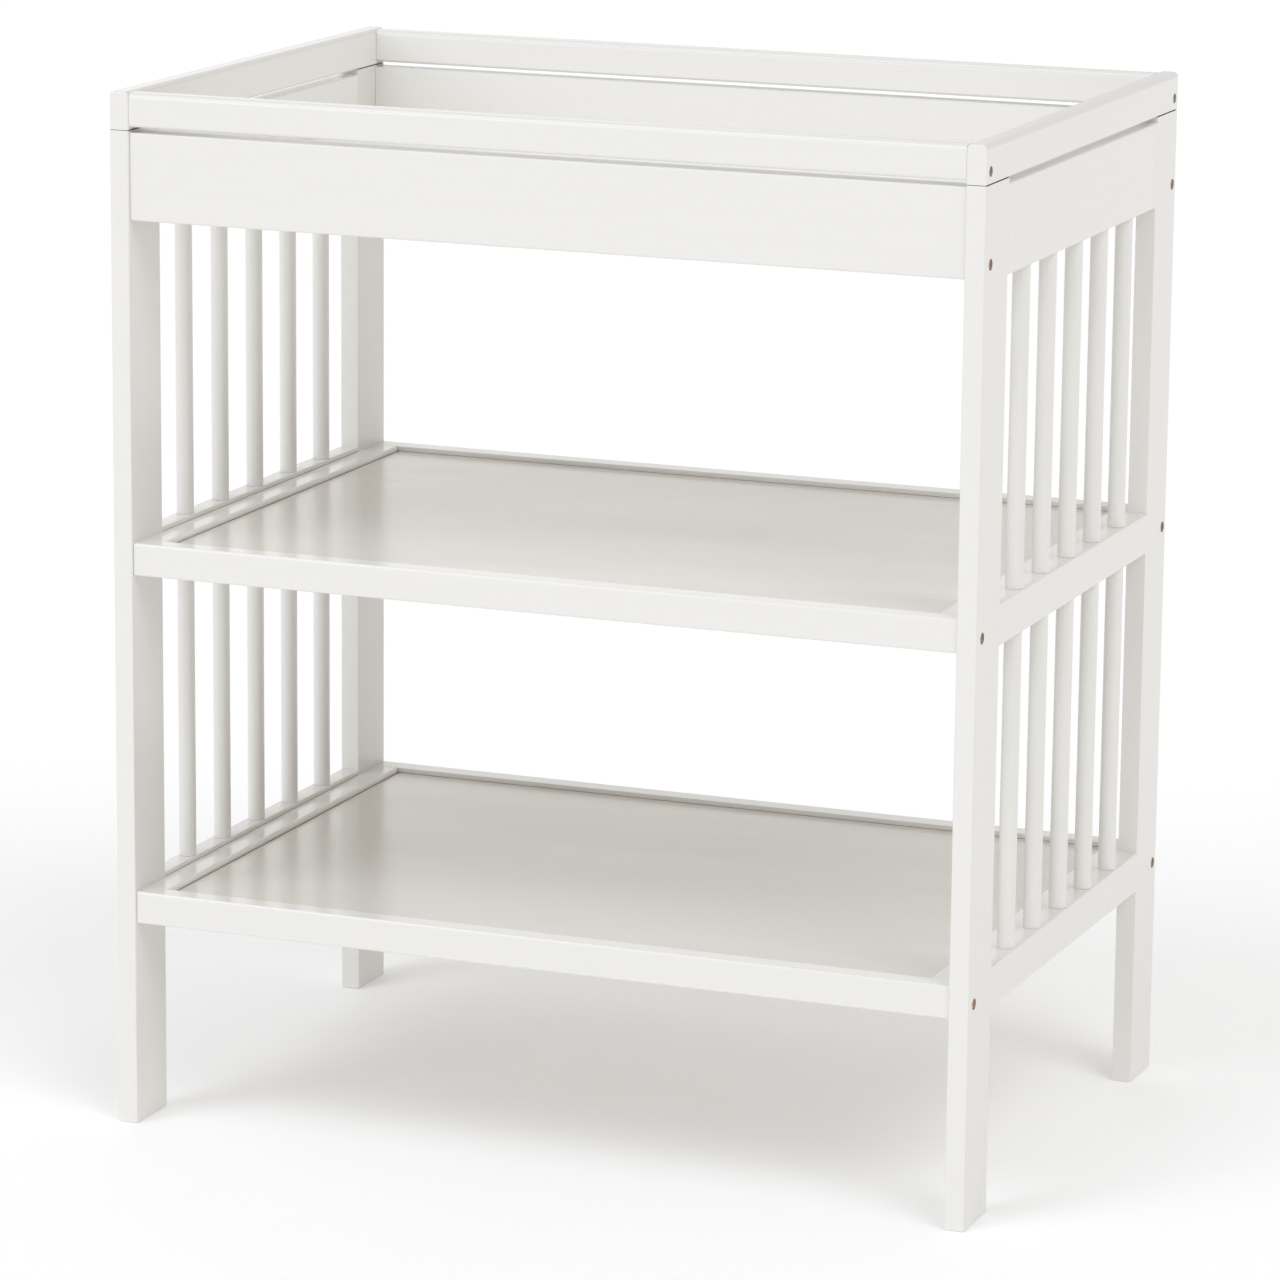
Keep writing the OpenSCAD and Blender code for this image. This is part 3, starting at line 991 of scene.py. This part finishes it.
@dataclass(frozen=True)
class Shelf(Joinery):
    """One shelf: rebated rails and battens round a thin glossy panel."""

    word: str
    ledge_w: float = 6 * MM
    nose_r: float = 3 * MM
    nose_facets: int = 6
    panel_edge_r: float = 0.4 * MM
    panel_facets: int = 2
    crack_h: float = 0.1 * MM

    def node(self, part: str) -> str:
        """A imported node's name, from its name within the shelf."""
        return f"{self.word}_shelf_{part}"

    @property
    def ledge_z(self) -> float:
        """The height of the ledge that the panel lies on."""
        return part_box(self.node("panel"))[0].z

    def build(self) -> None:
        """Makes the rails, battens and panel."""
        for end in End:
            self.make_rail(end)
        for side in Side:
            self.make_batten(side)
        self.make_panel()

    def saw_rebated(self, node: str, way: Side | End, short: float) -> tuple[Workpiece, float]:
        """Makes a low board and builds it up beside the ledge that the panel lies on.

        Args:
            node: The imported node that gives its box.
            way: The side or end of the shelf that it is on.
            short: How much is left off its front and its back.

        Returns:
            The board, and where the wall of its rebate stands on the axis of that side or end.
        """
        low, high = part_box(node)
        wall = inner_outer(node, way)[0] + way.value * self.ledge_w
        trim = Vector((0, short, 0))
        ledge_end = Vector((high.x, high.y, self.ledge_z))
        board = Workpiece.block(f"painted_{node}", low + trim, ledge_end - trim)
        board.split(way.axis, wall)
        board.build_out(
            lambda face: face.normal.z > SQUARE_ON
            and (face.calc_center_median()[way.axis.value] - wall) * way.value > 0,
            Vector((0, 0, high.z - self.ledge_z)),
        )
        return board, wall

    def finish_rebated(self, board: Workpiece, node: str, way: Side | End, wall: float) -> None:
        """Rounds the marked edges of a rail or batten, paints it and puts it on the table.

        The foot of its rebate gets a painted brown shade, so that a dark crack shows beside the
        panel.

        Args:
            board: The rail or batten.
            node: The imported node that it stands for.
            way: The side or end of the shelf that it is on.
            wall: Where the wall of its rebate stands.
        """
        board.round_weighed(self.nose_r, self.nose_facets)
        board.coat(WhitePaint(Axis.Y if way.axis is Axis.X else Axis.X, Sheen.GLOSS))
        crack_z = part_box(self.node("panel"))[1].z + self.crack_h
        board.split(Axis.Z, crack_z)
        # Painted shade: the foot of the rebate's wall takes a brown wood tone, so that a dark crack
        # shows beside the panel.
        board.wear(Wood(Axis.Y, Tone.BROWN), faces_in_wall(way.axis, wall, self.ledge_z, crack_z))
        board.join_part("painted_shelf_rails", node)

    def make_rail(self, end: End) -> None:
        """Makes the front or back rail.

        Args:
            end: Which rail.
        """
        node = self.node(f"{end.word}_rail")
        low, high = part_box(node)
        inner_y, outer_y = inner_outer(node, end)
        rail, wall_y = self.saw_rebated(node, end, short=0)
        for y, z, radius in (
            (outer_y, high.z, self.nose_r),
            (outer_y, low.z, self.shown_r),
            (wall_y, high.z, self.hidden_r),
            (inner_y, low.z, self.hidden_r),
        ):
            rail.weigh_line(Axis.X, (0, y, z), radius / self.nose_r)
        for x in (low.x, high.x):
            rail.weigh_line(Axis.Z, (x, outer_y, 0), self.hidden_r / self.nose_r)
        self.finish_rebated(rail, node, end, wall_y)

    def make_batten(self, side: Side) -> None:
        """Makes a side batten, whose top laps over the ledges of the rails at both ends.

        Args:
            side: Which batten.
        """
        node = self.node(f"{side.word}_batten")
        low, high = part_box(node)
        outer_x = inner_outer(node, side)[1]
        batten, wall_x = self.saw_rebated(node, side, short=self.ledge_w)
        for end in End:
            batten.build_out(
                lambda face: face.normal.y * end.value > SQUARE_ON
                and face.calc_center_median().z > self.ledge_z,
                Vector((0, end.value * self.ledge_w, 0)),
            )
        for x, radius in ((wall_x, self.nose_r), (outer_x, self.hidden_r)):
            batten.weigh_line(Axis.Y, (x, 0, high.z), radius / self.nose_r)
        for y, radius in ((low.y, self.hidden_r), (high.y, self.nose_r)):
            batten.weigh_line(Axis.X, (0, y, high.z), self.hidden_r / self.nose_r)
            batten.weigh_line(Axis.Z, (wall_x, y, 0), radius / self.nose_r)
        self.finish_rebated(batten, node, side, wall_x)

    def make_panel(self) -> None:
        """Makes the panel: a thin board with just-broken edges and a glossy coating."""
        node = self.node("panel")
        broken = all_edges(self.panel_edge_r)
        radii = EdgeRadii(broken, broken, broken)
        panel = make_board("coated", node, radii, self.panel_facets)
        panel.coat(PanelCoat())
        panel.join_part("shelf_panels", node)


@dataclass(frozen=True)
class ChangingTray(Joinery):
    """The changing tray: front and back aprons, and the deck on its battens."""

    deck_paint: Finish = WhitePaint(
        Axis.X,
        word="white_laminate",
        colour=(0.945, 0.932, 0.90),
        thin_colour=(0.935, 0.922, 0.89),
    )
    deck_facets: int = 2

    def build(self) -> None:
        """Makes the aprons and the deck, and dresses the hidden battens."""
        for end in End:
            self.make_apron(end)
        self.make_deck()
        grains = {"front": Axis.X, "back": Axis.X, "left": Axis.Y, "right": Axis.Y}
        dress_nodes({f"deck_{word}_batten": WhitePaint(grain) for word, grain in grains.items()})

    def make_apron(self, end: End) -> None:
        """Makes the front or back apron.

        Args:
            end: Which apron.
        """
        node = f"{end.word}_apron"
        hidden = all_edges(self.hidden_r)
        radii = EdgeRadii(all_edges(self.shown_r), hidden, hidden)
        apron = make_board("painted", node, radii)
        apron.coat(WhitePaint(Axis.X))
        # Painted bounce light: the inner face takes a brighter white.
        apron.wear(TrayPaint(Axis.X), faces_along(Axis.Y, -end.value))
        apron.join_part("painted_frame", node)

    def make_deck(self) -> None:
        """Makes the deck that the changing mat lies on."""
        broken = all_edges(self.hidden_r)
        radii = EdgeRadii(broken, broken, broken)
        deck = make_board("coated", "changing_deck", radii, self.deck_facets)
        deck.coat(self.deck_paint)
        deck.join_part("tray_deck", "changing_deck")


@dataclass(frozen=True)
class Rim(Joinery):
    """The raised rim: two side rails that stand on the legs and two end rails between them."""

    top_r: float = 5 * MM
    facets: int = 8
    side_end_r: float = 2 * MM
    lower_r: float = 2.8 * MM
    side_lower_r: float = 4 * MM
    blend_l: float = 3 * MM
    blend_steps: int = 3
    screw_rise: float = 8 * MM
    recess: Recess = Recess(head_d=9 * MM, depth=4.5 * MM, shank_d=5.2 * MM)

    def build(self) -> None:
        """Makes the four rails."""
        for side in Side:
            self.make_side_rail(side)
        for end in End:
            self.make_end_rail(end)

    def screw_mouths(self, side: Side) -> list[Vector]:
        """The middles of a side rail's screw recesses on its outer face.

        Args:
            side: Which side rail.

        Returns:
            The front and the back point.
        """
        outer_x = inner_outer(f"rim_{side.word}_rail", side)[1]
        ends = [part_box(f"rim_{end.word}_rail") for end in End]
        return [
            Vector((outer_x, (low.y + high.y) / 2, low.z + self.screw_rise)) for low, high in ends
        ]

    def make_side_rail(self, side: Side) -> None:
        """Makes a side rail, round-topped and bored for its screws.

        Its lower edges are sharper on the legs than between them. Its inner face and underside get
        painted bounce light, its recesses a painted grey shade and the cracks over the legs a
        painted dark shade.

        Args:
            side: Which rail.
        """
        node = f"rim_{side.word}_rail"
        low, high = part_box(node)
        rail = Workpiece.block(f"painted_{node}", low, high)
        for end in End:
            leg_y = inner_outer(f"{side.word}_{end.word}_leg", end)[0]
            for step in range(self.blend_steps):
                rail.split(Axis.Y, leg_y - end.value * step * self.blend_l)
        joint, top = self.joint_r, self.top_r
        along_x = (joint, self.back_joint_r, self.side_end_r, self.side_end_r)
        high_foot, low_foot = side.high_x_first(self.inner_joint_r, joint)
        along_y = (low_foot, high_foot, top, top)
        rail.weigh_board(EdgeRadii(along_x, along_y, all_edges(self.shown_r)))
        between = leg_y - self.blend_l + NEAR
        rail.weigh_edges(
            lambda edge: edges_at(Axis.Z, low.z)(edge)
            and all(abs(end.co.y) < between for end in edge.verts)
            and abs(edge.verts[0].co.x - edge.verts[1].co.x) < NEAR,
            (self.side_lower_r - joint) / top,
        )
        rail.round_weighed(top, self.facets)
        mouths = self.screw_mouths(side)
        for mouth in mouths:
            self.recess.sink(rail, mouth, side)
        rail.coat(WhitePaint(Axis.Y, Sheen.GLOSS))
        # Painted bounce light: the inner face and underside take a brighter white.
        rail.wear(TrayPaint(Axis.Y), faces_along(Axis.X, -side.value))
        rail.wear(TrayPaint(Axis.Y), faces_along(Axis.Z, -1))
        # Painted shade: the recesses take a grey wood tone for the shade in them.
        rail.wear(Wood(Axis.Y, Tone.GREY), self.recess.inner_faces(mouths))
        in_crack = faces_in_crack(low.z, joint / 2)
        # Painted shade: the faces in the cracks over the legs take a dark wood tone.
        rail.wear(
            Wood(Axis.Y, Tone.DARK),
            lambda face: in_crack(face) and abs(face.calc_center_median().y) > leg_y,
        )
        rail.join_part("painted_rim", node)

    def make_end_rail(self, end: End) -> None:
        """Makes the front or back rail, round-topped.

        Args:
            end: Which rail.
        """
        node = f"rim_{end.word}_rail"
        hidden = all_edges(self.hidden_r)
        along_x = (self.lower_r, self.lower_r, self.top_r, self.top_r)
        radii = EdgeRadii(along_x, hidden, hidden)
        rail = make_board("painted", node, radii, self.facets)
        rail.coat(WhitePaint(Axis.X, Sheen.GLOSS))
        # Painted bounce light: the inner face takes a brighter white.
        rail.wear(TrayPaint(Axis.X), faces_along(Axis.Y, -end.value))
        rail.join_part("painted_rim", node)


@dataclass(frozen=True)
class Hardware:
    """The fasteners: bolts and screws that show, and the hidden nuts, screws and dowels."""

    bolt: Fastener = Fastener(9.4 * MM, 4 * MM, shank_d=6 * MM, length=52 * MM)
    rim_screw: Fastener = Fastener(8.4 * MM, 3 * MM, shank_d=5 * MM, length=50 * MM)
    sink: float = 1.5 * MM

    def build(self) -> None:
        """Makes the bolts and rim screws, and dresses the hidden hardware."""
        legs = [(side, end) for side in Side for end in End]
        bolt_mouths = [(side, at) for side, end in legs for at in SideFrame(side).bolt_mouths(end)]
        screw_mouths = [(side, at) for side in Side for at in Rim().screw_mouths(side)]
        self.drive("frame_bolt", "frame_bolts", self.bolt, bolt_mouths)
        self.drive("rim_screw", "rim_screws", self.rim_screw, screw_mouths)
        dress_nodes({"barrel_nuts": ZINC, "batten_screws": ZINC, "side_dowels": Wood(Axis.Y)})
        dress_nodes({"rail_dowels": Wood(Axis.X), "rim_dowels": Wood(Axis.X)})

    def drive(
        self, word: str, node: str, fastener: Fastener, mouths: list[tuple[Side, Vector]]
    ) -> None:
        """Makes one fastener and copies it into every hole.

        Args:
            word: What the pieces are called.
            node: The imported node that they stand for.
            fastener: The kind of fastener.
            mouths: The side and the middle of each hole on the outer face.
        """
        model = fastener.model(f"{word}_model")
        for number, (side, mouth) in enumerate(mouths, start=1):
            at = mouth - Vector((side.value * self.sink, 0, 0))
            turn = Matrix.Rotation(math.pi if side is Side.RIGHT else 0, 4, "Z")
            piece = model.copy_to(f"{word}_{number}", Matrix.Translation(at) @ turn)
            piece.join_part("zinc_steel", node)
        model.discard()


# ---- Studio


@dataclass(frozen=True)
class Softlight:
    """A broad soft light so far off that it falls evenly on the whole room."""

    name: str
    left_of_front: float
    above_level: float
    strength: float
    colour: Colour = (1.0, 1.0, 1.0)
    breadth: float = 30.0
    distance: float = 5.0

    def hang(self) -> None:
        """Hangs the light on its side of the room, turned to the middle."""
        lamp = bpy.data.lights.new(self.name, "SUN")
        lamp.angle = math.radians(self.breadth)
        lamp.energy = self.strength
        lamp.color = self.colour
        holder = bpy.data.objects.new(self.name, lamp)
        bpy.context.scene.collection.objects.link(holder)
        turn, rise = math.radians(self.left_of_front), math.radians(self.above_level)
        level = math.cos(rise)
        towards = Vector((-math.sin(turn) * level, -math.cos(turn) * level, math.sin(rise)))
        holder.location = towards * self.distance
        holder.rotation_euler = towards.to_track_quat("Z", "Y").to_euler()


@dataclass(frozen=True)
class Viewpoint:
    """Where the camera stands and where it looks."""

    place: Place = (1.9105, -4.8321, 1.5803)
    turn: float = 0.378
    pitch: float = -0.2188
    roll: float = 0.0097
    lens_mm: float = 166.29
    sensor_mm: float = 36.0
    far_end: float = 200.0

    def set_up(self) -> None:
        """Makes the camera and hands it to the scene."""
        camera = bpy.data.cameras.new("camera")
        camera.lens = self.lens_mm
        camera.sensor_width = self.sensor_mm
        camera.clip_end = self.far_end
        holder = bpy.data.objects.new("camera", camera)
        bpy.context.scene.collection.objects.link(holder)
        holder.matrix_world = (
            Matrix.Translation(self.place)
            @ Matrix.Rotation(self.turn, 4, "Z")
            @ Matrix.Rotation(math.pi / 2 + self.pitch, 4, "X")
            @ Matrix.Rotation(self.roll, 4, "Z")
        )
        bpy.context.scene.camera = holder


@dataclass(frozen=True)
class Studio:
    """A white room: pale floor, even light from all round, soft lights in front and behind."""

    floor_size: float = 80.0
    floor_colour: Colour = (0.98, 0.98, 0.98)
    floor_roughness: float = 0.9
    floor_glow: float = 0.10
    surround: float = 0.652
    surround_colour: Colour = (1.015, 1.0, 0.985)
    lights: tuple[Softlight, ...] = (
        Softlight("fill", -55, 50, strength=0.60, colour=(0.955, 0.995, 1.05)),
        Softlight("low_key", 30, 14, strength=0.335, colour=(0.92, 0.985, 1.095), breadth=20),
        Softlight("high_key", 30, 50, strength=0.43, colour=(0.92, 0.985, 1.095)),
        Softlight("back", 150, 20, strength=0.11),
    )
    viewpoint: Viewpoint = Viewpoint()

    def build(self) -> None:
        """Sets up the floor, the lights, the surround and the camera."""
        self.lay_floor()
        self.light_surround()
        for light in self.lights:
            light.hang()
        self.viewpoint.set_up()
        bpy.context.scene.view_settings.view_transform = "Standard"

    def lay_floor(self) -> None:
        """Lays a wide, plain, pale floor that glows a little, as one lit from below."""
        bpy.ops.mesh.primitive_plane_add(size=self.floor_size)
        floor = bpy.context.object
        floor.name = "studio_floor"
        bench = ShaderBench("studio_floor")
        colour = (*self.floor_colour, 1)
        glow = {"Emission_Color": colour, "Emission_Strength": self.floor_glow}
        bench.plug(bench.shader, Base_Color=colour, Roughness=self.floor_roughness, **glow)
        floor.data.materials.append(bench.material)

    def light_surround(self) -> None:
        """Fills the surround with even light."""
        world = bpy.data.worlds.new("white_surround")
        world.use_nodes = True
        background = world.node_tree.nodes["Background"]
        background.inputs["Color"].default_value = (*self.surround_colour, 1)
        background.inputs["Strength"].default_value = self.surround
        bpy.context.scene.world = world


def main() -> None:
    """Builds the table piece by piece, and the studio round it."""
    logging.basicConfig(level=logging.INFO, format="%(name)s: %(message)s")
    parts = {
        "left side frame": SideFrame(Side.LEFT),
        "right side frame": SideFrame(Side.RIGHT),
        "lower spindles": SpindleRow(Level.LOWER),
        "upper spindles": SpindleRow(Level.UPPER),
        "bottom shelf": Shelf("bottom"),
        "middle shelf": Shelf("mid"),
        "changing tray": ChangingTray(),
        "rim": Rim(),
        "hardware": Hardware(),
    }
    for word, part in parts.items():
        log.info("the %s:", word)
        part.build()
    Studio().build()


if __name__ == "__main__":
    main()
